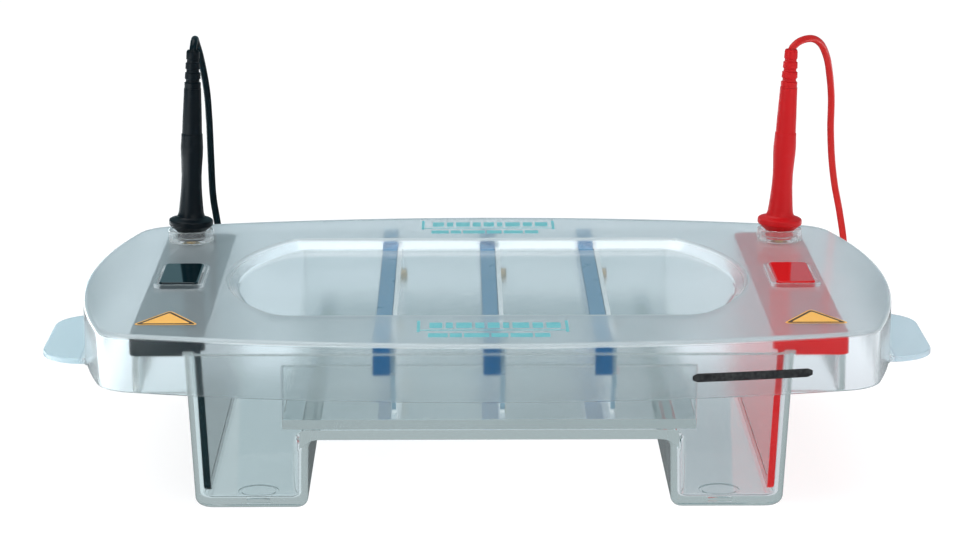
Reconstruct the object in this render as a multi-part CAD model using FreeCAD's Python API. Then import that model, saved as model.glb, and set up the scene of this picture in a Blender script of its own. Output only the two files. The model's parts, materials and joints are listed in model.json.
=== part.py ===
import FreeCAD, Part
import math
import os

os.makedirs("parts", exist_ok=True)
Vec = FreeCAD.Vector

# Horizontal gel electrophoresis tank with lid, gel tray, three combs, two lift-out
# electrode carriers and two power leads. Millimetres.
# Frame: +Z up, origin on the bench plane under the middle of the tank,
# X from the cathode (black) end to the anode (red) end, -Y is the front.
# A `side` of -1 is the cathode end and +1 the anode end.

REACH = 130.0       # half-length of prisms that are trimmed later or cut right through
OVER = 1.0          # how far a cutter overruns the face it opens
EPS = 0.01          # slack when edges are picked by position


# ---- solids from simple outlines --------------------------------------------------
def box(x0, x1, y0, y1, z0, z1):
    return Part.makeBox(x1 - x0, y1 - y0, z1 - z0, Vec(x0, y0, z0))


def centred_box(x, y, width, length, z0, z1):
    return box(x - width / 2, x + width / 2, y - length / 2, y + length / 2, z0, z1)


def cyl(x, y, radius, z0, z1):
    return Part.makeCylinder(radius, z1 - z0, Vec(x, y, z0))


def cyl_x(x0, y, z, radius, length):
    return Part.makeCylinder(radius, length, Vec(x0, y, z), Vec(1, 0, 0))


def cyl_y(x, y0, z, radius, length):
    return Part.makeCylinder(radius, length, Vec(x, y0, z), Vec(0, 1, 0))


def polygon_face(points):
    return Part.Face(Part.makePolygon(points + [points[0]]))


def prism_x(outline, x0, x1):
    """(y, z) outline swept along X."""
    return polygon_face([Vec(x0, y, z) for y, z in outline]).extrude(Vec(x1 - x0, 0, 0))


def prism_y(outline, y0, y1):
    """(x, z) outline swept along Y."""
    return polygon_face([Vec(x, y0, z) for x, z in outline]).extrude(Vec(0, y1 - y0, 0))


def prism_z(outline, z0, z1):
    """(x, y) outline swept along Z."""
    return polygon_face([Vec(x, y, z0) for x, y in outline]).extrude(Vec(0, 0, z1 - z0))


def turned(profile, x, y):
    """(radius, z) profile turned about the vertical through (x, y)."""
    face = polygon_face([Vec(x + r, y, z) for r, z in profile])
    return face.revolve(Vec(x, y, 0), Vec(0, 0, 1), 360)


def mirror_x(shape):
    return shape.mirror(Vec(0, 0, 0), Vec(1, 0, 0))


def single(shape):
    """The shape without splitter edges, as a bare solid if it holds just one."""
    shape = shape.removeSplitter()
    return shape.Solids[0] if len(shape.Solids) == 1 else shape


# ---- fillets: each test takes an edge's bounding box --------------------------------
def fillet(shape, radius, test):
    edges = [edge for edge in shape.Edges if test(edge.BoundBox)]
    if not edges:
        return shape
    # guards against a radius the kernel cannot roll: the edges then stay sharp
    try:
        return shape.makeFillet(radius, edges)
    except Exception:
        return shape


def steep(b):
    """vertical, or nearly so on a drafted wall"""
    return b.ZLength > 3 and b.XLength < 0.2 * b.ZLength and b.YLength < 0.2 * b.ZLength


def plumb(b, min_length):
    return b.ZLength > min_length and b.XLength < EPS and b.YLength < EPS


def near(a, b):
    return abs(a - b) < EPS


def level(b, z):
    return near(b.ZMin, z) and near(b.ZMax, z)


def above(z):
    return lambda b: b.ZMin > z - EPS


def below(z):
    return lambda b: b.ZMax < z + EPS


# ---- tank: one clear moulding -------------------------------------------------------
RIM_Z = 66.8
END_X_BOT, END_X_TOP = 123.4, 126.8      # outer face of the end walls, drafted
SIDE_Y_BOT, SIDE_Y_TOP = 107.8, 108.9    # outer face of the long walls, drafted
LEG_X_BOT, LEG_X_TOP = 76.1, 75.6        # outer face of each reservoir towards the middle
WALL = 3.5
FLOOR = 4.0                              # reservoir floor
PLAT_LO, PLAT_HI = 30.2, 33.7            # gel platform underside and top
CORNER_R, LEG_R, ARCH_R, FOOT_R = 8.0, 5.0, 5.5, 3.8
CAVITY_LEG_R, CAVITY_ARCH_R, CAVITY_FLOOR_R = 3.0, ARCH_R - 2.0, 2.0
CAVITY_TOP = RIM_Z + OVER
CAVITY_X_BOT = END_X_BOT - WALL + 0.2    # inner face of the end walls
CAVITY_X_TOP = END_X_TOP - WALL

SHELF_X, SHELF_Y, SHELF_T = 149.3, 96.8, 3.0
SHELF_SKIRT_Z = 47.5
SHELF_ROOT_X = END_X_TOP - 2.2
SHELF_R, SHELF_INNER_R, SHELF_INNER_TOP_R = 5.0, 2.0, 1.0
NUT_CLEAR_R, NUT_CLEAR_DEPTH = 6.0, 4.0

# round groove under each corner of the two feet
RING_X, RING_Y, RING_R = 97.5, 90.0, 8.6
RING_WIDTH, RING_DEPTH = 1.3, 0.7

PIN_X, PIN_Y, PIN_R = 138.0, 72.0, 2.0   # contact pin's axis and radius


def tank_block(end_x, side_y, leg_x, heights, radii):
    """Drafted block with an arch through its middle; x and y pairs are (bottom, top)."""
    (end_bot, end_top), (side_bot, side_top), (leg_bot, leg_top) = end_x, side_y, leg_x
    bottom, arch, top = heights
    corner_r, leg_r, arch_r, bottom_r = radii
    block = prism_y([(-end_bot, bottom), (-end_top, top), (end_top, top), (end_bot, bottom),
                     (leg_bot, bottom), (leg_top, arch), (-leg_top, arch), (-leg_bot, bottom)],
                    -REACH, REACH)
    block = block.common(prism_x([(-side_bot, bottom), (-side_top, top),
                                  (side_top, top), (side_bot, bottom)], -REACH, REACH))
    block = fillet(block, corner_r, lambda b: steep(b) and b.ZLength > 60)
    block = fillet(block, leg_r, lambda b: steep(b) and b.ZMax < arch + 1)
    block = fillet(block, arch_r,
                   lambda b: level(b, arch) and b.YLength > 100 and b.XLength < 1)
    return fillet(block, bottom_r, below(bottom))


def shelf_shape():
    """Open-bottomed box on the anode end wall that carries the electrode bar."""
    shelf = box(SHELF_ROOT_X, SHELF_X, -SHELF_Y, SHELF_Y, SHELF_SKIRT_Z, RIM_Z)
    shelf = fillet(shelf, SHELF_R, lambda b: steep(b) and b.XMin > SHELF_X - 1)
    under = RIM_Z - SHELF_T
    inner = box(SHELF_ROOT_X - 5, SHELF_X - SHELF_T, -SHELF_Y + SHELF_T, SHELF_Y - SHELF_T,
                SHELF_SKIRT_Z - OVER, under)
    inner = fillet(inner, SHELF_INNER_R, lambda b: steep(b) and b.XMin > SHELF_X - 5)
    inner = fillet(inner, SHELF_INNER_TOP_R, above(under))
    shelf = shelf.cut(inner)
    # trim off what would reach through the tank wall
    shelf = shelf.cut(prism_y([(END_X_BOT - 3, 0), (END_X_TOP - 2.0, RIM_Z + 0.5),
                               (0, RIM_Z + 0.5), (0, 0)], -REACH, REACH))
    # clearance for the contact pin's nut
    return shelf.cut(cyl(PIN_X, PIN_Y, NUT_CLEAR_R, RIM_Z - NUT_CLEAR_DEPTH, RIM_Z + OVER))


def tank_shape():
    outer = tank_block((END_X_BOT, END_X_TOP), (SIDE_Y_BOT, SIDE_Y_TOP), (LEG_X_BOT, LEG_X_TOP),
                       (0, PLAT_LO, RIM_Z), (CORNER_R, LEG_R, ARCH_R, FOOT_R))
    cavity = tank_block((CAVITY_X_BOT, CAVITY_X_TOP), (SIDE_Y_BOT - WALL, SIDE_Y_TOP - WALL),
                        (LEG_X_BOT + WALL, LEG_X_TOP + WALL), (FLOOR, PLAT_HI, CAVITY_TOP),
                        (CORNER_R - WALL, CAVITY_LEG_R, CAVITY_ARCH_R, CAVITY_FLOOR_R))
    tank = outer.cut(cavity)
    for x in (-RING_X, RING_X):
        for y in (-RING_Y, RING_Y):
            core = cyl(x, y, RING_R - RING_WIDTH, -2, 2)
            tank = tank.cut(cyl(x, y, RING_R, -OVER, RING_DEPTH).cut(core))
    shelf = shelf_shape()
    return single(tank.fuse(mirror_x(shelf)).fuse(shelf))


# ---- combs --------------------------------------------------------------------------
COMBS = (("left", -44.8), ("centre", 1.0), ("right", 47.4))   # name, x of the bar's middle
BAR_W, BAR_LO, BAR_HI = 7.3, 56.6, 67.6
BAR_Y = 99.5                             # half-length between the lugs' undersides
BAR_TOP_R = 0.8
LUG_LO, LUG_HI, LUG_Y0, LUG_Y1 = 57.5, 70.0, 88.0, 105.0
LUG_RAMP = 4.0
PLATE_T, PLATE_Y, PLATE_TOP = 2.0, 98.0, BAR_HI + 0.3
TOOTH_ROOT, TOOTH_TIP = 50.4, 38.4
TOOTH_W, TOOTH_PITCH, TOOTH_N = 6.2, 9.0, 20
SCREW_Y, SCREW_Z = 49.0, 61.5            # two screws hold each sheet, at +-SCREW_Y
SCREW_BAR_HOLE_R, SCREW_BAR_HOLE_DEPTH = 1.55, 6.0
SCREW_PLATE_HOLE_R = 1.65
SHANK_R, SHANK_L = 1.45, 6.9
HEAD_R, HEAD_T, HEAD_EDGE_R = 3.2, 2.8, 0.7
SLOT_W, SLOT_FLOOR = 0.9, 1.8            # slot width; its floor's height on the head


def comb_bar(comb_x):
    """Bar between the tray walls with a raised lug at each end."""
    x1 = comb_x + BAR_W / 2
    ramp_y = LUG_Y0 - LUG_RAMP
    bar = prism_x([(-BAR_Y, BAR_LO), (BAR_Y, BAR_LO), (BAR_Y, LUG_LO), (LUG_Y1, LUG_LO),
                   (LUG_Y1, LUG_HI), (LUG_Y0, LUG_HI), (ramp_y, BAR_HI), (-ramp_y, BAR_HI),
                   (-LUG_Y0, LUG_HI), (-LUG_Y1, LUG_HI), (-LUG_Y1, LUG_LO), (-BAR_Y, LUG_LO)],
                  comb_x - BAR_W / 2, x1)
    bar = fillet(bar, BAR_TOP_R,
                 lambda b: b.YLength > 10 and b.XLength < EPS and b.ZMin > BAR_HI - 0.1)
    for y in (-SCREW_Y, SCREW_Y):
        bar = bar.cut(cyl_x(x1 - SCREW_BAR_HOLE_DEPTH, y, SCREW_Z,
                            SCREW_BAR_HOLE_R, SCREW_BAR_HOLE_DEPTH + 0.5))
    return single(bar)


def comb_plate(comb_x):
    """Sheet on the bar's +X face with teeth hanging down."""
    x0 = comb_x + BAR_W / 2
    outline = [(-PLATE_Y, PLATE_TOP), (-PLATE_Y, TOOTH_ROOT)]
    for i in range(TOOTH_N):
        middle = -(TOOTH_N - 1) * TOOTH_PITCH / 2 + i * TOOTH_PITCH
        y0, y1 = middle - TOOTH_W / 2, middle + TOOTH_W / 2
        outline += [(y0, TOOTH_ROOT), (y0, TOOTH_TIP), (y1, TOOTH_TIP), (y1, TOOTH_ROOT)]
    outline += [(PLATE_Y, TOOTH_ROOT), (PLATE_Y, PLATE_TOP)]
    plate = prism_x(outline, x0, x0 + PLATE_T)
    for y in (-SCREW_Y, SCREW_Y):
        plate = plate.cut(cyl_x(x0 - OVER, y, SCREW_Z, SCREW_PLATE_HOLE_R, PLATE_T + 2 * OVER))
    return single(plate)


def comb_screw(comb_x, y):
    x0 = comb_x + BAR_W / 2 + PLATE_T
    shank = cyl_x(x0 - SHANK_L, y, SCREW_Z, SHANK_R, SHANK_L)
    head = cyl_x(x0, y, SCREW_Z, HEAD_R, HEAD_T)
    head = fillet(head, HEAD_EDGE_R, lambda b: b.XMin > x0 + HEAD_T - EPS)
    slot = box(x0 + SLOT_FLOOR, x0 + HEAD_T + 1.2, y - SLOT_W / 2, y + SLOT_W / 2,
               SCREW_Z - HEAD_R - 0.8, SCREW_Z + HEAD_R + 0.8)
    return single(head.fuse(shank).cut(slot))


# ---- gel tray -----------------------------------------------------------------------
TRAY_X, TRAY_Y = 86.5, 104.0
TRAY_Z0, TRAY_FLOOR, TRAY_WALL, TRAY_TOP = 33.8, 3.5, 3.0, 61.2
TRAY_CORNER_R = 1.2


def tray_shape():
    tray = box(-TRAY_X, TRAY_X, -TRAY_Y, TRAY_Y, TRAY_Z0, TRAY_Z0 + TRAY_FLOOR)
    for y0 in (-TRAY_Y, TRAY_Y - TRAY_WALL):
        tray = tray.fuse(box(-TRAY_X, TRAY_X, y0, y0 + TRAY_WALL, TRAY_Z0, TRAY_TOP))
    tray = tray.removeSplitter()
    # locating slots for the comb lugs
    for _, comb_x in COMBS:
        tray = tray.cut(box(comb_x - BAR_W / 2 - 0.2, comb_x + BAR_W / 2 + PLATE_T + 0.3,
                            -TRAY_Y - OVER, TRAY_Y + OVER, LUG_LO - 0.05, TRAY_TOP + OVER))
    tray = fillet(tray, TRAY_CORNER_R,
                  lambda b: steep(b) and b.ZLength > 15 and near(abs(b.XMin), TRAY_X)
                  and near(abs(b.YMin), TRAY_Y))
    return single(tray)


# ---- electrode carriers (drawn on the +X side, mirrored for the cathode) --------------
CAR_X0, CAR_X1 = 118.0, 149.8
CAR_Y0, CAR_Y1 = -101.5, 90.0
CAR_Z0, CAR_Z1 = RIM_Z + 0.05, 72.6
CAR_R, CAR_TOP_R = 4.0, 1.0
LIP_X0, LIP_Y, LIP_Z = END_X_TOP + 0.6, -97.15, 64.8   # lip under the bar's front end
PAD_X, PAD_Y, PAD_W, PAD_L, PAD_TOP = 136.0, -3.0, 17.4, 38.0, 77.0
PAD_R, PAD_TOP_R = 2.5, 0.9
EPLATE_LO, EPLATE_HI = 6.3, CAR_Z0 + 1.0
EPLATE_Y0, EPLATE_Y1 = -101.0, 84.0
EPLATE_T, EPLATE_GAP, EPLATE_R = 2.9, 0.45, 3.0        # gap is to the tank's end wall
WIRE_R, WIRE_Z, WIRE_Y0 = 0.25, 10.8, -93.5
WIRE_OFFSET = 0.3                        # wire's axis, in from the plate's inner face
GROOVE, GROOVE_Y0 = 0.6, -95.0           # groove depth, also half its width
CHANNEL_TOP = CAR_Z0 + 1.1
STEM_R, STEM_HOLE_R = 1.5, 1.55
STEM_LO = CAR_Z0 - 3.2
SEAL_SEAT_R, SEAL_SEAT_Z = 3.6, CAR_Z1 - 0.8
SEAL_RING_R, SEAL_CORD_R = 2.55, 0.45
NUT_RECESS_R, NUT_RECESS_TOP = 4.2, CAR_Z0 + 1.2
NUT_R, NUT_LO, NUT_HI = 3.1, CAR_Z0 - 1.7, CAR_Z0 + 1.15   # radius is across corners
PIN_COLLAR_R, PIN_COLLAR_LO, PIN_COLLAR_HI = 3.9, CAR_Z1 + 0.15, CAR_Z1 + 1.6
PIN_COLLAR_EDGE_R = 0.4
PIN_TOP, PIN_TIP_R = 92.0, 1.6


def eplate_x(z):
    """Inner face of the electrode plate at height z, parallel to the tank's end wall."""
    slope = (CAVITY_X_TOP - CAVITY_X_BOT) / (CAVITY_TOP - FLOOR)
    return CAVITY_X_BOT + slope * (z - FLOOR) - EPLATE_GAP - EPLATE_T


def carrier_shape():
    bar = box(CAR_X0, CAR_X1, CAR_Y0, CAR_Y1, CAR_Z0, CAR_Z1)
    bar = fillet(bar, CAR_R, steep)
    bar = fillet(bar, CAR_TOP_R, above(CAR_Z1))
    pad = centred_box(PAD_X, PAD_Y, PAD_W, PAD_L, CAR_Z1 - 1.5, PAD_TOP)
    pad = fillet(pad, PAD_R, steep)
    pad = fillet(pad, PAD_TOP_R, above(PAD_TOP))
    foot_x, head_x = eplate_x(EPLATE_LO), eplate_x(EPLATE_HI)
    plate = prism_y([(foot_x, EPLATE_LO), (head_x, EPLATE_HI),
                     (head_x + EPLATE_T, EPLATE_HI), (foot_x + EPLATE_T, EPLATE_LO)],
                    EPLATE_Y0, EPLATE_Y1)
    plate = fillet(plate, EPLATE_R,
                   lambda b: level(b, EPLATE_LO) and b.XLength > 1 and b.YLength < 0.1)
    lip = box(LIP_X0, CAR_X1, CAR_Y0, LIP_Y, LIP_Z, CAR_Z0 + 1.0)
    lip = fillet(lip, CAR_R,
                 lambda b: steep(b) and b.XMin > CAR_X1 - 0.1 and b.YMax < CAR_Y0 + 0.1)
    carrier = bar.fuse(plate).fuse(pad).fuse(lip)
    # wire groove along the bottom of the plate's inner face, and up to the bar
    low_x, high_x = eplate_x(WIRE_Z), eplate_x(CAR_Z0)
    y0, y1 = PIN_Y - GROOVE, PIN_Y + GROOVE
    z0, z1 = WIRE_Z - GROOVE, WIRE_Z + GROOVE
    carrier = carrier.cut(prism_y([(low_x - 2, z0), (low_x - 2, z1),
                                   (low_x + GROOVE, z1), (low_x + GROOVE, z0)], GROOVE_Y0, y1))
    carrier = carrier.cut(prism_y([(low_x - 2, WIRE_Z), (high_x - 2, CAR_Z0),
                                   (high_x + GROOVE, CAR_Z0), (low_x + GROOVE, WIRE_Z)], y0, y1))
    # channel under the bar from the plate to the pin's nut
    carrier = carrier.cut(box(CAR_X0 - OVER, PIN_X, y0, y1, CAR_Z0 - OVER, CHANNEL_TOP))
    # bore for the pin's stem, seat for the seal, recess for the nut
    for radius, z0, z1 in ((STEM_HOLE_R, CAR_Z0 - OVER, CAR_Z1 + OVER),
                           (SEAL_SEAT_R, SEAL_SEAT_Z, CAR_Z1 + OVER),
                           (NUT_RECESS_R, CAR_Z0 - OVER, NUT_RECESS_TOP)):
        carrier = carrier.cut(cyl(PIN_X, PIN_Y, radius, z0, z1))
    return single(carrier)


def pin_shape():
    """Contact pin: stem through the bar, collar on the seal, rounded tip."""
    stem = cyl(PIN_X, PIN_Y, STEM_R, STEM_LO, CAR_Z1 + 0.2)
    collar = cyl(PIN_X, PIN_Y, PIN_COLLAR_R, PIN_COLLAR_LO, PIN_COLLAR_HI)
    collar = fillet(collar, PIN_COLLAR_EDGE_R, above(PIN_COLLAR_HI))
    pin = cyl(PIN_X, PIN_Y, PIN_R, CAR_Z1 + 1.5, PIN_TOP)
    pin = fillet(pin, PIN_TIP_R, above(PIN_TOP))
    return single(stem.fuse(collar).fuse(pin))


def nut_shape():
    angles = [math.radians(60 * i) for i in range(6)]
    nut = prism_z([(PIN_X + NUT_R * math.cos(a), PIN_Y + NUT_R * math.sin(a)) for a in angles],
                  NUT_LO, NUT_HI)
    return single(nut.cut(cyl(PIN_X, PIN_Y, STEM_HOLE_R, NUT_LO - OVER, NUT_HI + OVER)))


def seal_shape():
    middle = Vec(PIN_X, PIN_Y, SEAL_SEAT_Z + SEAL_CORD_R + 0.02)
    return Part.makeTorus(SEAL_RING_R, SEAL_CORD_R, middle)


def wire_shape():
    """Platinum wire: along the plate's foot, up the plate and out to the nut."""
    low_x = eplate_x(WIRE_Z) + WIRE_OFFSET
    top_z = CAR_Z0 + 0.5
    path = [Vec(low_x, WIRE_Y0, WIRE_Z), Vec(low_x, PIN_Y, WIRE_Z),
            Vec(eplate_x(CAR_Z0 - 0.6) + WIRE_OFFSET, PIN_Y, top_z),
            Vec(PIN_X - NUT_R - WIRE_R, PIN_Y, top_z)]
    runs = []
    for a, b in zip(path, path[1:]):
        run = Part.makeCylinder(WIRE_R, (b - a).Length, a, b - a)
        runs.append(run.fuse(Part.makeSphere(WIRE_R, b)))
    return single(runs[0].fuse(runs[1]).fuse(runs[2]))


# ---- lid ----------------------------------------------------------------------------
LID_TOP, LID_T, LID_RIM = 74.8, 2.0, 50.0
LID_X, LID_Y = 178.2, 122.5              # half-sizes at the middle of the bowed sides
LID_R_SIDE, LID_R_END, LID_CORNER = 650.0, 312.0, 20.0
LID_SHOULDER, LID_INNER_SHOULDER = 2.4, 0.5
# sunken window: end arc radius and centre offset, y of its middle, half-width, depth,
# and how far its walls run in over that depth
REC_R, REC_CX, REC_CY, REC_Y, REC_DEPTH, REC_RUN = 118.6, 2.0, 1.6, 74.3, 4.4, 5.5
REC_CORNER_R, REC_FLOOR_R, REC_UNDER_R = 24.0, 2.0, 3.5
TONGUE_X, TONGUE_Y, TONGUE_R, TONGUE_Z0, TONGUE_Z1 = 196.3, 40.0, 20.0, 44.9, 47.4
TONGUE_L, TONGUE_TOP_R = 26.0, 0.8
SKIRT_Y_LO, SKIRT_Y_HI = TONGUE_Y + 2, TONGUE_Y + 12   # deeper end skirt, half-widths
SKIRT_Z1 = LID_RIM + 0.5
PAD_GAP, PAD_RIM_GAP, PAD_RIM_TOP = 0.8, 2.3, LID_TOP + 1.6
PAD_HOLE_R, PAD_RIM_R, PAD_RIM_TOP_R = 3.2, 4.6, 0.6
COLLAR_R, COLLAR_H, COLLAR_EDGE_R = 10.5, 5.5, 0.7
COLLAR_NECK_R, COLLAR_BORE_R = 7.0, 6.1
COLLAR_SEAT_R, COLLAR_SEAT_Z = 8.6, LID_TOP + 2.2
MARK_SIDE, MARK_Y, MARK_T, MARK_R = 28.0, -88.5, 0.25, 1.5
MARK_X = {-1: -135.6, 1: 137.5}


def lid_blank(inset, z0, z1):
    """Bowed rectangle: two long arcs and two end arcs, corners rounded."""
    side_r, end_r = LID_R_SIDE - inset, LID_R_END - inset
    side_y, end_x = LID_R_SIDE - LID_Y, LID_R_END - LID_X
    blank = cyl(0, -side_y, side_r, z0, z1).common(cyl(0, side_y, side_r, z0, z1))
    blank = blank.common(cyl(-end_x, 0, end_r, z0, z1)).common(cyl(end_x, 0, end_r, z0, z1))
    corner_r = LID_CORNER - LID_T if inset else LID_CORNER
    return fillet(blank.removeSplitter(), corner_r,
                  lambda b: plumb(b, 3) and abs(b.XMin) > 100 and abs(b.YMin) > 80)


def window(grow, z0, z1):
    """Window block: bowed ends, straight long sides, walls sloping in towards the floor."""
    low, high = [grow - (LID_TOP - z) * REC_RUN / REC_DEPTH for z in (z0, z1)]
    left, right = [Part.makeCone(REC_R + low, REC_R + high, z1 - z0, Vec(x, REC_CY, z0))
                   for x in (-REC_CX, REC_CX)]
    sides = prism_x([(REC_CY - REC_Y - low, z0), (REC_CY - REC_Y - high, z1),
                     (REC_CY + REC_Y + high, z1), (REC_CY + REC_Y + low, z0)], -REACH, REACH)
    block = left.common(right).common(sides).removeSplitter()
    return fillet(block, REC_CORNER_R,
                  lambda b: b.ZLength > 0.8 * (z1 - z0) and b.XLength < 20 and abs(b.YMin) > 60)


def lid_shell():
    outer = lid_blank(0.0, LID_RIM, LID_TOP)
    outer = fillet(outer, LID_SHOULDER, above(LID_TOP))
    inner = lid_blank(LID_T, LID_RIM - OVER, LID_TOP - LID_T)
    inner = fillet(inner, LID_INNER_SHOULDER, above(LID_TOP - LID_T))
    floor_z = LID_TOP - REC_DEPTH
    well_in = fillet(window(0.0, floor_z, LID_TOP + OVER), REC_FLOOR_R, below(floor_z))
    slope = math.hypot(REC_RUN, REC_DEPTH) / REC_DEPTH
    well_out = window(LID_T * slope, floor_z - LID_T, LID_TOP + OVER)
    well_out = fillet(well_out, REC_UNDER_R, below(floor_z - LID_T))
    return outer.cut(inner.cut(well_out)).cut(well_in)


def tongue_shape(side):
    """Lift tongue standing out from the skirt at one end."""
    x0, x1 = sorted((side * (TONGUE_X - TONGUE_L), side * TONGUE_X))
    tongue = box(x0, x1, -TONGUE_Y, TONGUE_Y, TONGUE_Z0, TONGUE_Z1)
    tongue = fillet(tongue, TONGUE_R,
                    lambda b: plumb(b, 2) and near(abs(b.XMin), TONGUE_X))
    tongue = fillet(tongue, TONGUE_TOP_R, above(TONGUE_Z1))
    return tongue.cut(lid_blank(LID_T - 0.5, TONGUE_Z0 - OVER, TONGUE_Z1 + OVER))


def lid_shape():
    lid = lid_shell()
    # deeper skirt at the two ends, and the lift tongues on it
    skirt = lid_blank(0.0, TONGUE_Z0, SKIRT_Z1)
    skirt = skirt.cut(lid_blank(LID_T, TONGUE_Z0 - OVER, LID_RIM + 2))
    for side in (-1, 1):
        x0, x1 = sorted((side * 150.0, side * 190.0))
        lid = lid.fuse(skirt.common(prism_x([(-SKIRT_Y_HI, SKIRT_Z1), (-SKIRT_Y_LO, TONGUE_Z0),
                                             (SKIRT_Y_LO, TONGUE_Z0), (SKIRT_Y_HI, SKIRT_Z1)],
                                            x0, x1)))
        lid = lid.fuse(tongue_shape(side))
    for side in (-1, 1):
        # thumb-pad opening with a raised rim
        rim = centred_box(side * PAD_X, PAD_Y, PAD_W + 2 * PAD_RIM_GAP, PAD_L + 2 * PAD_RIM_GAP,
                          LID_TOP - 0.5, PAD_RIM_TOP)
        rim = fillet(rim, PAD_RIM_R, lambda b: plumb(b, 1.5))
        rim = fillet(rim, PAD_RIM_TOP_R, above(PAD_RIM_TOP))
        hole = centred_box(side * PAD_X, PAD_Y, PAD_W + 2 * PAD_GAP, PAD_L + 2 * PAD_GAP,
                           LID_TOP - 5, LID_TOP + 5)
        lid = lid.fuse(rim).cut(fillet(hole, PAD_HOLE_R, steep))
        # hole for the plug collar's neck
        lid = lid.cut(cyl(side * PIN_X, PIN_Y, COLLAR_NECK_R + 0.05, LID_TOP - 5, LID_TOP + OVER))
    return single(lid)


def collar_shape(side):
    x, y = side * PIN_X, PIN_Y
    top = LID_TOP + COLLAR_H
    collar = fillet(cyl(x, y, COLLAR_R, LID_TOP, top), COLLAR_EDGE_R, above(top))
    collar = collar.fuse(cyl(x, y, COLLAR_NECK_R, LID_TOP - LID_T, LID_TOP + 1))
    collar = collar.cut(cyl(x, y, COLLAR_SEAT_R, COLLAR_SEAT_Z, top + OVER))
    return single(collar.cut(cyl(x, y, COLLAR_BORE_R, LID_TOP - 4, LID_TOP + 4)))


def triangle_shape(side):
    """Plain triangular mark lying on the lid."""
    x = MARK_X[side]
    mark = prism_z([(x - MARK_SIDE / 2, MARK_Y), (x + MARK_SIDE / 2, MARK_Y),
                    (x, MARK_Y + MARK_SIDE * math.sqrt(3) / 2)], LID_TOP, LID_TOP + MARK_T)
    return single(fillet(mark, MARK_R, lambda b: plumb(b, 0.2)))


# ---- lead plugs on the lid ------------------------------------------------------------
RISE = LID_TOP - 73.6        # plug heights below are drawn for a lid top at 73.6
LEAN = {-1: 1.9, 1: 2.6}     # degrees each handle leans towards +X
LEAN_Z = 80.6                # height of the lean's pivot
CABLE_R, CABLE_BORE_R = 1.7, 1.78
# (radius, z)
PLUG_PROFILE = [
    (0.0, 77.6), (5.9, 77.6), (9.9, 81.0), (10.35, 81.6), (10.35, 83.1), (10.1, 83.7),
    (9.5, 84.1), (7.6, 84.6), (6.5, 85.4), (5.95, 87.0), (5.6, 90.0), (5.2, 94.5),
    (4.85, 99.5), (4.72, 104.5), (4.9, 109.5), (5.2, 114.5), (5.25, 118.0), (5.05, 122.0),
    (4.95, 124.4), (4.68, 124.8), (4.5, 132.0), (4.25, 139.0), (4.0, 146.0), (0.0, 146.0)]
BOOT_PROFILE = [
    (0.0, 146.05), (3.8, 146.05), (3.85, 148.6), (3.2, 149.0), (3.15, 150.2), (3.7, 150.6),
    (3.6, 153.2), (3.0, 153.6), (2.95, 154.8), (3.45, 155.2), (3.35, 157.8), (2.8, 158.2),
    (2.8, 159.4), (3.15, 159.8), (3.05, 162.8), (2.7, 163.8), (0.0, 163.8)]
# (radius, bottom z) of the two steps under the plug, which both end at STEP_TOP
SPIGOT, SHOULDER, STEP_TOP = (5.85, 74.6), (6.5, 75.95), 79.5
SOCKET_R, SOCKET_Z0, SOCKET_Z1 = 3.0, 73.0, 99.0
CABLE_BORE_Z0, CABLE_BORE_Z1 = 95.0, 147.0
BOOT_BORE_Z0, BOOT_BORE_Z1 = 145.0, 165.0
MOUTH_R, MOUTH_Z, MOUTH_H = 2.2, 160.0, 4.0
CONTACT_R, CONTACT_Z0, CONTACT_Z1 = 2.95, 75.2, 98.6
CONTACT_BORE_R, CONTACT_BORE_Z0, CONTACT_BORE_Z1 = PIN_R + 0.06, 75.0, 94.6
CONTACT_SLOT_W, CONTACT_SLOT_TOP = 0.6, 84.0


def lean(shape, side):
    shape = shape.copy()
    shape.rotate(Vec(side * PIN_X, PIN_Y, LEAN_Z), Vec(0, 1, 0), LEAN[side])
    return shape


def plug_body(side):
    x, y = side * PIN_X, PIN_Y
    body = lean(turned(PLUG_PROFILE, x, y), side)
    for radius, z0 in (SPIGOT, SHOULDER):
        body = body.fuse(cyl(x, y, radius, z0, STEP_TOP))
    body = body.cut(cyl(x, y, SOCKET_R, SOCKET_Z0, SOCKET_Z1))
    body = body.cut(lean(cyl(x, y, CABLE_BORE_R, CABLE_BORE_Z0, CABLE_BORE_Z1), side))
    body.translate(Vec(0, 0, RISE))
    return single(body)


def plug_boot(side):
    x, y = side * PIN_X, PIN_Y
    boot = turned(BOOT_PROFILE, x, y).cut(cyl(x, y, CABLE_BORE_R, BOOT_BORE_Z0, BOOT_BORE_Z1))
    # flared mouth where the cable bends away
    boot = boot.cut(Part.makeCone(CABLE_BORE_R, MOUTH_R, MOUTH_H, Vec(x, y, MOUTH_Z)))
    boot = lean(boot, side)
    boot.translate(Vec(0, 0, RISE))
    return single(boot)


def plug_contact(side):
    """Sprung socket that grips the contact pin."""
    x, y = side * PIN_X, PIN_Y
    contact = cyl(x, y, CONTACT_R, CONTACT_Z0, CONTACT_Z1)
    contact = contact.cut(cyl(x, y, CONTACT_BORE_R, CONTACT_BORE_Z0, CONTACT_BORE_Z1))
    for angle in (0, 90):
        slot = centred_box(0, 0, CONTACT_SLOT_W, 8, CONTACT_BORE_Z0, CONTACT_SLOT_TOP)
        slot.rotate(Vec(0, 0, 0), Vec(0, 0, 1), angle)
        slot.translate(Vec(x, y, 0))
        contact = contact.cut(slot)
    contact.translate(Vec(0, 0, RISE))
    return single(contact)


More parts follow.
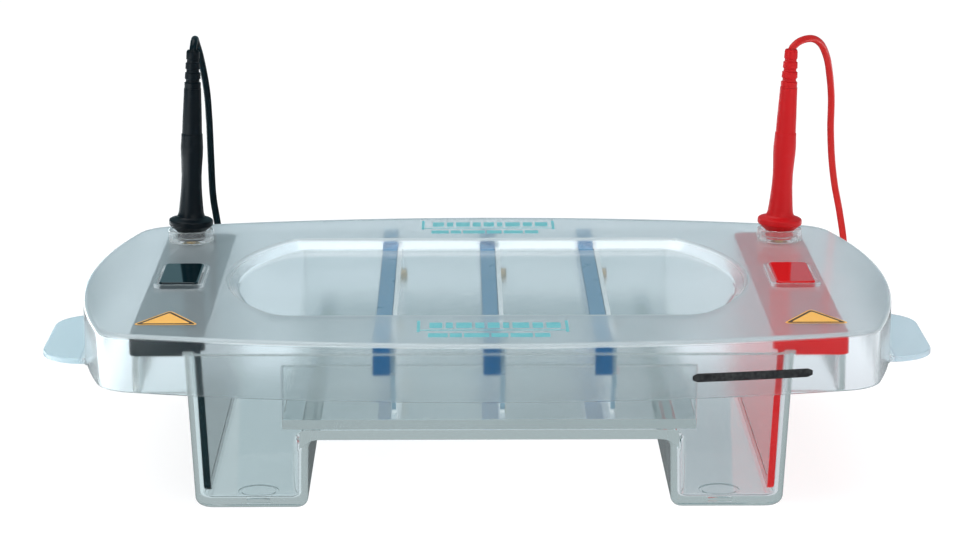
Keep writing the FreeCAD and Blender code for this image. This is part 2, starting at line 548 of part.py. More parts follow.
# ---- cables ---------------------------------------------------------------------------
# (x, y, z) along each cable, from the boot down to the bench behind the tank
CABLE_POINTS = {
    1: [(145.0, 74.2, 167.8), (151.4, 80.5, 168.6), (157.0, 89.1, 165.1), (161.6, 99.8, 156.7),
        (164.4, 109.9, 146.8), (166.7, 119.5, 133.8), (167.9, 129.1, 117.5),
        (170.0, 138.8, 100.5), (172.9, 147.9, 85.2), (176.8, 156.5, 69.5), (180.4, 165.0, 51.5),
        (182.4, 174.0, 32.0), (183.0, 185.0, 14.5), (182.2, 199.0, 5.0), (180.4, 214.0, 3.0),
        (178.8, 227.0, 3.6)],
    -1: [(-135.0, 74.0, 167.6), (-134.9, 80.0, 168.8), (-134.9, 88.6, 165.2),
         (-134.0, 97.8, 157.3), (-132.6, 111.4, 139.6), (-132.6, 123.0, 122.4),
         (-133.2, 136.1, 101.5), (-133.5, 148.8, 79.6), (-132.0, 159.4, 60.1),
         (-131.4, 170.0, 38.5), (-131.6, 181.0, 18.0), (-132.2, 195.0, 6.0),
         (-133.2, 211.0, 3.1), (-133.8, 225.0, 3.6)],
}
CABLE_START_Z = (100.0, 161.6, 163.6)    # heights of the first points, on the plug's axis
CURVE_STEPS = 16                         # curve points worked out per given point
BEND_STEP, RUN_STEP, BEND_LENGTH = 1.6, 3.6, 42.0   # section spacing, fine over the bend
END_X = {-1: -134.0, 1: 178.0}           # far-end plug: axis x, near end y, axis z
END_Y, END_Z = 238.0, 4.8


def smooth_curve(points, steps):
    """Points on a centripetal Catmull-Rom curve through the given ones."""
    first, last = points[0] * 2 - points[1], points[-1] * 2 - points[-2]
    padded = [first] + points + [last]
    curve = []
    for i in range(1, len(padded) - 2):
        q = padded[i - 1:i + 3]
        t = [0.0]
        for j in range(3):
            t.append(t[-1] + max((q[j + 1] - q[j]).Length, 1e-6) ** 0.5)

        def blend(a, b, j, k, u):
            return a * ((t[k] - u) / (t[k] - t[j])) + b * ((u - t[j]) / (t[k] - t[j]))

        for step in range(steps):
            u = t[1] + (t[2] - t[1]) * step / steps
            a = [blend(q[j], q[j + 1], j, j + 1, u) for j in range(3)]
            b = [blend(a[j], a[j + 1], j, j + 2, u) for j in range(2)]
            curve.append(blend(b[0], b[1], 1, 2, u))
    return curve + [points[-1]]


def respaced(points):
    """The same curve with even steps, short over its first bend and longer after it."""
    run = [0.0]
    for a, b in zip(points, points[1:]):
        run.append(run[-1] + (b - a).Length)
    rest = run[-1] - BEND_LENGTH
    bend_n = max(2, int(round(BEND_LENGTH / BEND_STEP)))
    rest_n = max(2, int(round(rest / RUN_STEP)))
    marks = [BEND_LENGTH * i / bend_n for i in range(bend_n)]
    marks += [BEND_LENGTH + rest * i / rest_n for i in range(rest_n + 1)]
    spaced, j = [], 0
    for mark in marks:
        while j < len(run) - 2 and run[j + 1] < mark:
            j += 1
        u = (mark - run[j]) / (run[j + 1] - run[j])
        spaced.append(points[j] * (1 - u) + points[j + 1] * u)
    return spaced


def cable_shape(side):
    start, mid, end = [lean(Part.Vertex(Vec(side * PIN_X, PIN_Y, z)), side).Point
                       + Vec(0, 0, RISE) for z in CABLE_START_Z]
    tail = [Vec(END_X[side], END_Y + dy, END_Z) for dy in (0.0, 3.0, 7.0)]
    given = [mid, end] + [Vec(*p) for p in CABLE_POINTS[side]] + tail[:2]
    path = [start] + respaced(smooth_curve(given, CURVE_STEPS)) + [tail[2]]
    # circular sections carried along the curve without twist
    rings, across = [], Vec(1, 0, 0)
    for i, point in enumerate(path):
        along = path[min(i + 1, len(path) - 1)] - path[max(i - 1, 0)]
        along.normalize()
        across = across - along * across.dot(along)
        across.normalize()
        ring = Part.Wire([Part.makeCircle(CABLE_R)])
        turn = FreeCAD.Rotation(across, along.cross(across), along, "ZXY")
        ring.Placement = FreeCAD.Placement(point, turn)
        rings.append(ring)
    cable = Part.makeLoft(rings, True, True)
    # a loft can come out inside out
    if cable.Volume < 0:
        cable.reverse()
    return single(cable)


# ---- far-end plugs, lying on the bench along +Y -----------------------------------------
# (radius, distance from the plug's near end)
END_PROFILE = [
    (0.0, 0.0), (2.6, 0.0), (3.2, 0.6), (3.5, 6.0), (4.1, 12.0), (4.6, 16.0), (4.7, 24.0),
    (4.4, 33.0), (4.7, 37.0), (4.7, 40.0), (4.2, 40.8), (0.0, 40.8)]
END_BORE_DEPTH = 8.0
NECK_R, NECK_Y, NECK_L = 1.75, END_Y + 15.0, 28.0
END_PIN_Y, END_PIN_L, END_PIN_TIP_R = END_Y + 42.0, 17.0, 1.2


def end_plug(side):
    x = END_X[side]
    face = polygon_face([Vec(x + r, END_Y + y, END_Z) for r, y in END_PROFILE])
    plug = face.revolve(Vec(x, 0, END_Z), Vec(0, 1, 0), 360)
    plug = plug.cut(cyl_y(x, END_Y - OVER, END_Z, CABLE_BORE_R, END_BORE_DEPTH + OVER))
    return single(plug.cut(cyl_y(x, NECK_Y - 1, END_Z, NECK_R + 0.05, NECK_L + 2)))


def end_pin(side):
    """Pin with a rounded tip and a thinner neck held in the plug."""
    x = END_X[side]
    pin = cyl_y(x, END_PIN_Y, END_Z, PIN_R, END_PIN_L)
    pin = fillet(pin, END_PIN_TIP_R, lambda b: b.YMin > END_PIN_Y + END_PIN_L - 0.1)
    return single(pin.fuse(cyl_y(x, NECK_Y, END_Z, NECK_R, NECK_L)))


# ---- write the parts --------------------------------------------------------------------
def save(shape, name):
    shape.exportStep("parts/%s.step" % name)


save(tank_shape(), "tank")
save(tray_shape(), "gel_tray")
save(lid_shape(), "lid")

for name, comb_x in COMBS:
    save(comb_bar(comb_x), "comb_bar_" + name)
    save(comb_plate(comb_x), "comb_plate_" + name)
    save(comb_screw(comb_x, SCREW_Y), "comb_screw_" + name)
    save(comb_screw(comb_x, -SCREW_Y), "comb_screw_front_" + name)

for build, name in ((carrier_shape, "carrier"), (pin_shape, "pin"), (nut_shape, "pin_nut"),
                    (seal_shape, "pin_seal"), (wire_shape, "wire")):
    part = build()
    save(part, "anode_" + name)
    save(mirror_x(part), "cathode_" + name)

for side, place, colour in ((-1, "left", "black"), (1, "right", "red")):
    save(collar_shape(side), "plug_collar_" + place)
    save(triangle_shape(side), "triangle_mark_" + place)
    for build, name in ((plug_body, "plug_body"), (plug_boot, "plug_boot"),
                        (plug_contact, "plug_contact"), (cable_shape, "cable"),
                        (end_plug, "end_plug"), (end_pin, "end_pin")):
        save(build(side), colour + "_" + name)
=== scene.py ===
"""Clear gel tank with a tray, combs, a frosted lid, and a plug and cable at each side.

The frame is in metres with +Z up. The tank stands on z = 0, is long in X, and its front
faces -Y. Printed films are laid out in millimetres and converted with MM.
"""
import json
import math

import bmesh
import bpy
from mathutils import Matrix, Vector


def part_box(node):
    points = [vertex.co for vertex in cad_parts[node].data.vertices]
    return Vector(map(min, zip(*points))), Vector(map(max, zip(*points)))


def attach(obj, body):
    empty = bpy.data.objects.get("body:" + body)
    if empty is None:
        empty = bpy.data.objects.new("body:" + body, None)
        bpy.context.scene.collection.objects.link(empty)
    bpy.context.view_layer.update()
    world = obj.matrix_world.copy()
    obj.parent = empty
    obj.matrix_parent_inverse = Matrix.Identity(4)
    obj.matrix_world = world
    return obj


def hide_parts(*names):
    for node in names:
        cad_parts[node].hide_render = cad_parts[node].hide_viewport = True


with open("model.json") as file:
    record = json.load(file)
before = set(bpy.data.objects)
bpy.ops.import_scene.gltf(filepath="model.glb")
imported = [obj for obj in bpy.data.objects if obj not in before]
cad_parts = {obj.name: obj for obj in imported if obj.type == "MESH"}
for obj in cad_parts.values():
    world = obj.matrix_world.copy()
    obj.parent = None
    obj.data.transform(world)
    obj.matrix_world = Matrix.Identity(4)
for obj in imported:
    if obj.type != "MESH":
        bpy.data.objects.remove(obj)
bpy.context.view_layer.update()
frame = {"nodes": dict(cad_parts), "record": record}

NODES = frame["nodes"]
SLOT = {part["node"]: part["material_slot"] for part in frame["record"]["subparts"]}
BODY = {
    node: body
    for body, members in frame["record"]["behaviour"]["bodies"].items()
    for node in members
}
scene = bpy.context.scene
MM = 0.001


# ---------------------------------------------------------------- colours
def srgb(r, g, b):
    """8-bit display colour to linear RGBA"""
    def linear(value):
        value /= 255.0
        return value / 12.92 if value <= 0.04045 else ((value + 0.055) / 1.055) ** 2.4
    return (linear(r), linear(g), linear(b), 1.0)


def scaled(colour, gain, offset=0.0):
    """opaque colour with each channel multiplied, then raised"""
    return tuple(c * gain + offset for c in colour[:3]) + (1.0,)


# ---------------------------------------------------------------- node helpers
class Graph:
    """A cleared node tree with short ways to add nodes. Inputs take a socket or a plain value."""

    def __init__(self, owner):
        owner.use_nodes = True
        self.tree = owner.node_tree
        self.tree.nodes.clear()

    def node(self, kind, **props):
        node = self.tree.nodes.new(kind)
        for key, value in props.items():
            setattr(node, key, value)
        return node

    def put(self, socket, value):
        if isinstance(value, bpy.types.NodeSocket):
            self.tree.links.new(value, socket)
        else:
            socket.default_value = value

    def split(self, vector):
        """X, Y and Z sockets of a vector"""
        node = self.node("ShaderNodeSeparateXYZ")
        self.put(node.inputs[0], vector)
        return node.outputs

    def coordinate(self, kind):
        return self.node("ShaderNodeTexCoord").outputs[kind]

    def light_path(self):
        return self.node("ShaderNodeLightPath").outputs

    def math(self, operation, a, b=None, clamp=False):
        node = self.node("ShaderNodeMath", operation=operation, use_clamp=clamp)
        self.put(node.inputs[0], a)
        if b is not None:
            self.put(node.inputs[1], b)
        return node.outputs[0]

    def between(self, factor, a, b):
        """number running from a to b as factor goes from 0 to 1"""
        part_a = self.math("MULTIPLY", a, self.math("SUBTRACT", 1.0, factor))
        return self.math("ADD", part_a, self.math("MULTIPLY", factor, b))

    def remap(self, value, span=(0.0, 1.0), to=(0.0, 1.0), smooth=False):
        """value carried from one span to another, clamped at the ends"""
        node = self.node("ShaderNodeMapRange")
        if smooth:
            node.interpolation_type = "SMOOTHSTEP"
        self.put(node.inputs["Value"], value)
        for key, limit in zip(("From Min", "From Max", "To Min", "To Max"), (*span, *to)):
            self.put(node.inputs[key], limit)
        return node.outputs["Result"]

    def mix(self, factor, a, b):
        """colour mix; inputs 6 and 7 are the node's colour sockets A and B"""
        node = self.node("ShaderNodeMix", data_type="RGBA")
        self.put(node.inputs["Factor"], factor)
        self.put(node.inputs[6], a)
        self.put(node.inputs[7], b)
        return node.outputs[2]


class Material(Graph):
    """A node material whose textures follow the object's own position, in metres."""

    def __init__(self, name):
        self.material = bpy.data.materials.new(name)
        super().__init__(self.material)
        self.output = self.node("ShaderNodeOutputMaterial")
        self._position = None

    def position(self):
        if self._position is None:
            self._position = self.coordinate("Object")
        return self._position

    def noise(self, scale, detail=3.0, rough=0.5, stretch=(1, 1, 1)):
        mapping = self.node("ShaderNodeMapping")
        self.put(mapping.inputs["Vector"], self.position())
        mapping.inputs["Scale"].default_value = stretch
        node = self.node("ShaderNodeTexNoise")
        self.put(node.inputs["Vector"], mapping.outputs[0])
        node.inputs["Scale"].default_value = scale
        node.inputs["Detail"].default_value = detail
        node.inputs["Roughness"].default_value = rough
        return node.outputs["Fac"]

    def bump(self, height, strength, distance, normal=None):
        node = self.node("ShaderNodeBump")
        node.inputs["Strength"].default_value = strength
        node.inputs["Distance"].default_value = distance
        self.put(node.inputs["Height"], height)
        if normal is not None:
            self.put(node.inputs["Normal"], normal)
        return node.outputs["Normal"]

    def shader(self, kind, **inputs):
        """shader node; an underscore in an input's name stands for a space"""
        node = self.node("ShaderNode" + kind)
        for key, value in inputs.items():
            self.put(node.inputs[key.replace("_", " ")], value)
        return node.outputs[0]

    def principled(self, **inputs):
        return self.shader("BsdfPrincipled", **inputs)

    def mix_shader(self, factor, a, b):
        node = self.node("ShaderNodeMixShader")
        self.put(node.inputs[0], factor)
        self.put(node.inputs[1], a)
        self.put(node.inputs[2], b)
        return node.outputs[0]

    def finish(self, shader):
        self.put(self.output.inputs["Surface"], shader)
        return self.material


# ---------------------------------------------------------------- clear plastics
# painted glow: flat emission colours for the edges of the clear walls and of the lid
PAINTED_EDGE_GLOW = (0.40, 0.47, 0.48, 1)
LID_PAINTED_EDGE_GLOW = (0.50, 0.57, 0.60, 1)


def haze_veil(m, shader, colour, amount):
    """a little light scattered in the body of the plastic"""
    back_lit = m.shader("BsdfTranslucent", Color=colour)
    front_lit = m.shader("BsdfDiffuse", Color=colour)
    return m.mix_shader(amount, shader, m.mix_shader(0.5, back_lit, front_lit))


def paint_edge_glow(m, shader, tone):
    """painted glow: a ray that reflects twice inside a wall, or refracts ten times, ends in a
    flat emission of this colour, so wall edges glow pale grey
    """
    path = m.light_path()
    deep = m.math("MAXIMUM",
                  m.math("GREATER_THAN", path["Glossy Depth"], 1.5),
                  m.math("GREATER_THAN", path["Transmission Depth"], 9.5))
    return m.mix_shader(deep, shader, m.shader("Emission", Color=tone))


def through_light(m, shader, tint):
    """shadow and diffuse rays pass straight through, so that what is inside stays lit"""
    path = m.light_path()
    passing = m.math("MAXIMUM", path["Is Shadow Ray"], path["Is Diffuse Ray"])
    return m.mix_shader(passing, shader, m.shader("BsdfTransparent", Color=tint))


def finish_clear(m, shader, veil_colour, veil, edge_glow_colour, shadow_tint):
    shader = haze_veil(m, shader, veil_colour, veil)
    return m.finish(through_light(m, paint_edge_glow(m, shader, edge_glow_colour), shadow_tint))


def clear_plastic(name, tint, wave=0.04, veil=0.007, veil_colour=(0.42, 0.80, 0.84, 1)):
    """polished clear moulding: flow waves, handling haze, a deeper tint in patches"""
    m = Material(name)
    patches = m.remap(m.noise(scale=14.0, detail=2.0), span=(0.35, 0.65))
    haze = m.remap(m.noise(scale=60.0, detail=4.0, rough=0.6), span=(0.45, 0.75), to=(0.02, 0.06))
    flow = m.noise(scale=9.0, detail=2.0, rough=0.4, stretch=(1, 1, 0.6))
    plastic = m.principled(
        Base_Color=m.mix(patches, tint, scaled(tint, 0.96)),
        Roughness=haze,
        IOR=1.44,
        Transmission_Weight=1.0,
        Normal=m.bump(flow, strength=wave, distance=0.004),
    )
    amount = m.remap(m.noise(scale=30.0), span=(0.3, 0.7), to=(veil * 0.8, veil * 1.25))
    return finish_clear(m, plastic, veil_colour, amount, PAINTED_EDGE_GLOW, scaled(tint, 0.5, 0.5))


LID_TINT = (0.975, 0.988, 0.992, 1)
LID_VEIL_COLOUR = (0.66, 0.88, 0.98, 1)
# surface roughness by region, and between the grains of the frost
LID_ROUGH = {"top": 0.48, "skirt": 0.20, "window": 0.10, "open": 0.12}
# scattered light by region; the window's value scales the rest, the tongue's is added
LID_VEIL = {"top": 0.060, "skirt": 0.003, "window": 0.5, "tongue": 0.40}
LID_OPEN = 0.72                 # share of the frosted margin that is open between grains
# sunken window, metres: two end arcs about centres just past the middle, and straight sides
WINDOW_CENTRE_Y = 0.0016
WINDOW_ARC_SHIFT = 0.002
WINDOW_ARC_RADIUS = 0.1150
WINDOW_HALF_DEPTH = 0.0710
WINDOW_FADE = (-0.0020, 0.0030)  # distance from the outline, negative inside
TONGUE_X = (0.1760, 0.1790)      # |x| where the end tongues begin
TOP_Z = (0.0722, 0.0745)         # height where the skirt gives way to the top


def lid_regions(m):
    """masks for the window, the end tongues and the frosted margin"""
    x, y, z = m.xyz if hasattr(m, "xyz") else m.split(m.position())
    across = m.math("ABSOLUTE", x)
    along = m.math("SUBTRACT", y, WINDOW_CENTRE_Y)
    arc_x = m.math("POWER", m.math("ADD", across, WINDOW_ARC_SHIFT), 2.0)
    radius = m.math("SQRT", m.math("ADD", arc_x, m.math("POWER", along, 2.0)))
    outside = m.math("MAXIMUM",
                     m.math("SUBTRACT", radius, WINDOW_ARC_RADIUS),
                     m.math("SUBTRACT", m.math("ABSOLUTE", along), WINDOW_HALF_DEPTH))
    window = m.remap(outside, span=WINDOW_FADE, to=(1.0, 0.0), smooth=True)
    tongue = m.remap(across, span=TONGUE_X, smooth=True)
    top = m.remap(z, span=TOP_Z, smooth=True)
    margin = m.math("MULTIPLY", top, m.math("SUBTRACT", 1.0, window), clamp=True)
    return window, tongue, margin


def frosted_lid(name):
    """lid plastic: fine frost on the margins, nearly clear skirt, polished sunken window"""
    m = Material(name)
    window, tongue, margin = lid_regions(m)
    cloud = m.noise(scale=22.0)
    rough = m.math("ADD",
                   m.remap(margin, to=(LID_ROUGH["skirt"], LID_ROUGH["top"])),
                   m.remap(cloud, span=(0.3, 0.7), to=(-0.02, 0.02)),
                   clamp=True)
    rough = m.between(window, rough, LID_ROUGH["window"])
    tint = m.mix(m.remap(cloud, span=(0.3, 0.7)), LID_TINT, scaled(LID_TINT, 0.97))
    waves = m.bump(m.noise(scale=10.0, detail=2.0, rough=0.4), strength=0.05, distance=0.003)
    grain = m.noise(scale=2600.0, rough=0.6)
    normal = m.bump(grain, strength=0.06, distance=0.00003, normal=waves)

    def plastic(roughness):
        return m.principled(Base_Color=tint, Roughness=roughness, IOR=1.45,
                            Transmission_Weight=1.0, Normal=normal)
    # nearly clear between the grains, so dark parts below keep a dark core
    shader = m.mix_shader(m.math("MULTIPLY", margin, LID_OPEN),
                          plastic(rough), plastic(LID_ROUGH["open"]))
    veil = m.math("MULTIPLY",
                  m.remap(margin, to=(LID_VEIL["skirt"], LID_VEIL["top"])),
                  m.remap(window, to=(1.0, LID_VEIL["window"])))
    veil = m.math("ADD", veil, m.math("MULTIPLY", tongue, LID_VEIL["tongue"]), clamp=True)
    return finish_clear(m, shader, LID_VEIL_COLOUR, veil, LID_PAINTED_EDGE_GLOW, (0.95, 0.97, 0.98, 1))


# ---------------------------------------------------------------- opaque materials
PAD_Z = 0.0752                  # height above which the carriers' plastic is polished
PAD_FADE = 0.0006
FACING = (0.80, 0.97)           # normal component over which a face counts as facing an axis


def moulded(name, colour, rough=0.30, specular=0.12, side_specular=0.5, top_specular=0.3,
            top_coat=0.0, polished_pad=False, sawn=None, chalk=None):
    """opaque moulded plastic: spark texture, soft mottling, its own gloss on top and X faces

    The colour given for the Y faces is a painted shade laid on them, the one given for the top a
    painted sheen that turns the top faces paler.
    """
    m = Material(name)
    mottle = m.remap(m.noise(scale=45.0, detail=4.0, rough=0.55), span=(0.3, 0.75))
    lighter = tuple(min(1.0, c + 0.35 * (0.004 + 0.10 * c)) for c in colour[:3]) + (1.0,)
    base = m.mix(mottle, colour, lighter)
    roughness = m.remap(m.noise(scale=120.0, rough=0.6), span=(0.3, 0.7),
                        to=(rough - 0.05, rough + 0.06))
    spark = m.bump(m.noise(scale=900.0, detail=2.0), strength=0.35, distance=0.00004)
    facing_x, facing_y, facing_z = m.split(m.coordinate("Normal"))
    side = m.remap(m.math("ABSOLUTE", facing_x), span=FACING)
    top = m.remap(facing_z, span=FACING)
    if chalk:
        # painted sheen: top faces mixed part way towards a paler colour
        base = m.mix(m.math("MULTIPLY", top, 0.55), base, chalk)
    # painted shade: faces towards the front and back take a darker colour
    if sawn:
        base = m.mix(m.remap(m.math("ABSOLUTE", facing_y), span=FACING), base, sawn)
    level = m.math("ADD", specular, m.math("MULTIPLY", side, side_specular))
    level = m.math("ADD", level, m.math("MULTIPLY", top, top_specular), clamp=True)
    roughness = m.between(side, roughness, 0.14)
    coat = {}
    if polished_pad:
        pad = m.remap(m.split(m.position())[2], span=(PAD_Z - PAD_FADE, PAD_Z))
        roughness = m.math("MULTIPLY", roughness, m.remap(pad, to=(1.0, 0.3)))
        coat = {"Coat_Weight": m.remap(pad, to=(0.0, 0.6)), "Coat_Roughness": 0.04}
    elif top_coat:
        coat = {"Coat_Weight": m.math("MULTIPLY", top, top_coat), "Coat_Roughness": 0.1}
    return m.finish(m.principled(Base_Color=base, Roughness=roughness, IOR=1.5, Normal=spark,
                                 Specular_IOR_Level=level, **coat))


def soft_rubber(name, colour, rough=0.42):
    """soft moulding or cable jacket: silky, faintly dusty in spots"""
    m = Material(name)
    dust = m.remap(m.noise(scale=260.0, detail=5.0, rough=0.65), span=(0.55, 0.85),
                   to=(0.0, 0.35))
    return m.finish(m.principled(
        Base_Color=m.mix(dust, colour, scaled(colour, 0.95, 0.02)),
        Roughness=m.remap(m.noise(scale=90.0), span=(0.3, 0.7), to=(rough - 0.06, rough + 0.08)),
        IOR=1.46,
        Normal=m.bump(m.noise(scale=700.0, rough=0.6), strength=0.3, distance=0.00005),
        Specular_IOR_Level=0.22,
    ))


def metal(name, colour, rough):
    """fine surface lines and darker tarnish"""
    m = Material(name)
    lines = m.noise(scale=1500.0, detail=2.0, stretch=(1, 1, 30))
    tarnish = m.remap(m.noise(scale=160.0, detail=4.0, rough=0.6), span=(0.4, 0.8))
    return m.finish(m.principled(
        Base_Color=m.mix(tarnish, colour, scaled(colour, 0.72)),
        Metallic=1.0,
        Roughness=m.remap(lines, span=(0.3, 0.7), to=(rough - 0.06, rough + 0.1)),
        Normal=m.bump(lines, strength=0.25, distance=0.00002),
    ))


def printed(name, colour, fade):
    """screen-printed ink film, a little uneven"""
    m = Material(name)
    blot = m.noise(scale=700.0, detail=4.0, rough=0.7)
    pale = tuple(c + (1.0 - c) * fade for c in colour[:3]) + (1.0,)
    return m.finish(m.principled(
        Base_Color=m.mix(m.remap(blot, span=(0.4, 0.75)), colour, pale),
        Roughness=m.remap(blot, span=(0.3, 0.7), to=(0.35, 0.5)),
        Normal=m.bump(blot, strength=0.2, distance=0.00002),
    ))


def named(make, name, *args, **options):
    """(name, material) pair for the table below"""
    return name, make(name, *args, **options)


# keyed by material slot
MATERIALS = dict([
    named(clear_plastic, "clear_tank", (0.955, 0.975, 0.98, 1)),
    named(clear_plastic, "clear_tray", (0.98, 0.99, 0.992, 1), veil=0.005),
    named(frosted_lid, "frosted_lid"),
    named(clear_plastic, "clear_collar", (0.97, 0.98, 0.985, 1), wave=0.02, veil=0.12,
          veil_colour=(0.92, 0.95, 0.96, 1)),
    # the blue comb's paler top colour is a painted sheen
    named(moulded, "comb_blue", srgb(0, 80, 126), top_coat=0.5, side_specular=0.1,
          chalk=srgb(96, 160, 205)),
    # the white comb's darker front and back faces are a painted shade
    named(moulded, "comb_white", srgb(238, 243, 245), rough=0.35, specular=0.3,
          side_specular=0.0, sawn=srgb(120, 146, 160)),
    named(moulded, "black_plastic", srgb(1, 24, 30), polished_pad=True, top_specular=0.0),
    named(moulded, "red_plastic", srgb(196, 20, 24), polished_pad=True, top_specular=0.0),
    named(metal, "gold", (0.86, 0.62, 0.26, 1), rough=0.22),
    named(metal, "brass", (0.74, 0.53, 0.27, 1), rough=0.28),
    named(metal, "platinum", (0.80, 0.79, 0.77, 1), rough=0.18),
    named(soft_rubber, "seal_rubber", (0.02, 0.02, 0.02, 1), rough=0.6),
    named(soft_rubber, "black_plug", srgb(0, 14, 22)),
    named(soft_rubber, "red_plug", srgb(190, 16, 22)),
    named(soft_rubber, "black_cable", srgb(1, 20, 27), rough=0.35),
    named(soft_rubber, "red_cable", srgb(186, 30, 28), rough=0.35),
    named(printed, "yellow_mark", srgb(244, 180, 66), fade=0.12),
])
INK_TEAL = printed("ink_teal", srgb(84, 176, 184), fade=0.2)
INK_DARK = printed("ink_dark", srgb(20, 24, 28), fade=0.05)
MARK_EDGE = printed("mark_edge", srgb(60, 42, 24), fade=0.05)


# ---------------------------------------------------------------- mesh helpers
def mesh_object(name, bm, material):
    """linked object from a bmesh, which is freed"""
    mesh = bpy.data.meshes.new(name)
    bm.to_mesh(mesh)
    bm.free()
    mesh.materials.append(material)
    piece = bpy.data.objects.new(name, mesh)
    scene.collection.objects.link(piece)
    return piece


def smooth_by_angle(mesh, limit):
    """smooth shading with sharp edges where faces meet at more than the limit"""
    bm = bmesh.new()
    bm.from_mesh(mesh)
    for face in bm.faces:
        face.smooth = True
    for edge in bm.edges:
        edge.smooth = not (len(edge.link_faces) == 2 and edge.calc_face_angle(0.0) > limit)
    bm.to_mesh(mesh)
    bm.free()


# ---------------------------------------------------------------- CAD pieces
WELD = 0.00002
FLAT_ANGLE = math.radians(0.6)      # faces closer than this are merged
SHARP_ANGLE = math.radians(32.0)    # edges beyond this are eased and shaded sharp
BEVEL_SEGMENTS = 3
EASED = {
    "tank": 0.0005,
    "gel_tray": 0.0003,
    "lid": 0.0003,
    "plug_collar_left": 0.0002,
    "plug_collar_right": 0.0002,
}


def edge_easing(node):
    """bevel width in metres, 0 for none"""
    if node in EASED:
        return EASED[node]
    if node.endswith("_carrier"):
        return 0.0004
    if node.startswith("comb_bar"):
        return 0.0005
    if node.startswith("comb_plate"):
        return 0.00015
    return 0.0


def rebuild(node):
    """A CAD node's surface welded, its flat faces merged, edges eased and shading smoothed."""
    bm = bmesh.new()
    bm.from_mesh(NODES[node].data)
    bmesh.ops.remove_doubles(bm, verts=bm.verts, dist=WELD)
    bmesh.ops.dissolve_degenerate(bm, dist=WELD, edges=bm.edges)
    bmesh.ops.dissolve_limit(bm, angle_limit=FLAT_ANGLE, verts=bm.verts, edges=bm.edges)
    bmesh.ops.recalc_face_normals(bm, faces=bm.faces)
    piece = mesh_object(node + "_finish", bm, MATERIALS[SLOT[node]])
    smooth_by_angle(piece.data, SHARP_ANGLE)
    width = edge_easing(node)
    if width:
        bevel = piece.modifiers.new("ease", "BEVEL")
        bevel.width = width
        bevel.segments = BEVEL_SEGMENTS
        bevel.limit_method = "ANGLE"
        bevel.angle_limit = SHARP_ANGLE
        bevel.harden_normals = True
        bevel.miter_outer = "MITER_ARC"
        bevel.use_clamp_overlap = True
    normals = piece.modifiers.new("normals", "WEIGHTED_NORMAL")
    normals.keep_sharp = True
    normals.weight = 80
    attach(piece, BODY[node])
    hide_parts(node)


for node in NODES:
    if not node.startswith("triangle_mark"):
        rebuild(node)


# ---------------------------------------------------------------- films on the lid's top
def films(name, outlines, bottom, top, material):
    """thin printed films on the lid as one mesh; outlines and heights in mm"""
    bm = bmesh.new()
    for outline in outlines:
        face = bm.faces.new([bm.verts.new((x * MM, y * MM, bottom * MM)) for x, y in outline])
        raised = bmesh.ops.extrude_face_region(bm, geom=[face])
        for part in raised["geom"]:
            if isinstance(part, bmesh.types.BMVert):
                part.co.z = top * MM
    bmesh.ops.recalc_face_normals(bm, faces=bm.faces)
    piece = mesh_object(name, bm, material)
    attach(piece, "lid_unit")
    return piece


MARK_BASE = 28.0
MARK_HEIGHT = MARK_BASE * math.sqrt(3) / 2


def rounded_triangle(centre, inset, radius):
    """the mark's triangle with rounded corners, drawn inwards by the inset"""
    points = []
    reach = MARK_HEIGHT * 2 / 3 - 2 * inset - 2 * radius
    for corner in range(3):
        direction = math.radians(90 + 120 * corner)
        arc_centre = centre + Vector((math.cos(direction), math.sin(direction))) * reach
        for i in range(7):
            angle = direction - math.radians(60) + math.radians(120) * i / 6
            points.append((arc_centre.x + radius * math.cos(angle),
                           arc_centre.y + radius * math.sin(angle)))
    return points


def triangle_mark(side):
    """yellow film, a dark ring and a yellow field stacked on it, no symbol"""
    node = "triangle_mark_" + side
    low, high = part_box(node)
    centre = Vector(((low[0] + high[0]) / 2 / MM, low[1] / MM + MARK_HEIGHT / 3))
    base = low[2] / MM

    def layer(part, inset, radius, bottom, top, material, slot=None):
        outline = rounded_triangle(centre, inset, radius)
        return films(f"mark_{part}_{side}", [outline], base + bottom, base + top, material)
    yellow = {"material": MATERIALS["yellow_mark"], "slot": "yellow_mark"}
    film = layer("film", inset=0.0, radius=1.4, bottom=0.01, top=0.10, **yellow)
    layer("ring", inset=0.7, radius=1.0, bottom=0.09, top=0.14, material=MARK_EDGE)
    layer("field", inset=2.2, radius=0.5, bottom=0.13, top=0.19, **yellow)
    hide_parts(node)


for side in ("left", "right"):
    triangle_mark(side)

LID_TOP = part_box("triangle_mark_left")[0][2] / MM
BAR_CORNER = 0.5
# rows of bars: first x, gap, near and far y from the bracket line, bar widths
BAR_ROWS = (
    (-25.0, 1.4, 3.4, 12.6, (5.4, 3.0, 6.6, 3.8, 5.0, 2.6, 7.0, 4.4, 6.0)),
    (-25.5, 0.9, -11.6, -5.2, (8.2, 5.0, 10.4, 7.0, 9.2, 6.4)),
)
# bracket line and its two end ticks: x0, x1, then y0, y1 from the line's middle
BRACKET = (
    (-29.2, 32.2, -0.5, 0.5),
    (-30.2, -28.9, -3.0, 16.0),
    (31.9, 33.2, -3.0, 16.0),
)


def rounded_bar(x0, x1, y0, y1):
    """rectangle with corners of six points each"""
    r = min(BAR_CORNER, (y1 - y0) / 2.05, (x1 - x0) / 2.05)
    corners = (
        (x1 - r, y0 + r, -90),
        (x1 - r, y1 - r, 0),
        (x0 + r, y1 - r, 90),
        (x0 + r, y0 + r, 180),
    )
    points = []
    for centre_x, centre_y, start in corners:
        for i in range(6):
            angle = math.radians(start + 90 * i / 5)
            points.append((centre_x + r * math.cos(angle), centre_y + r * math.sin(angle)))
    return points


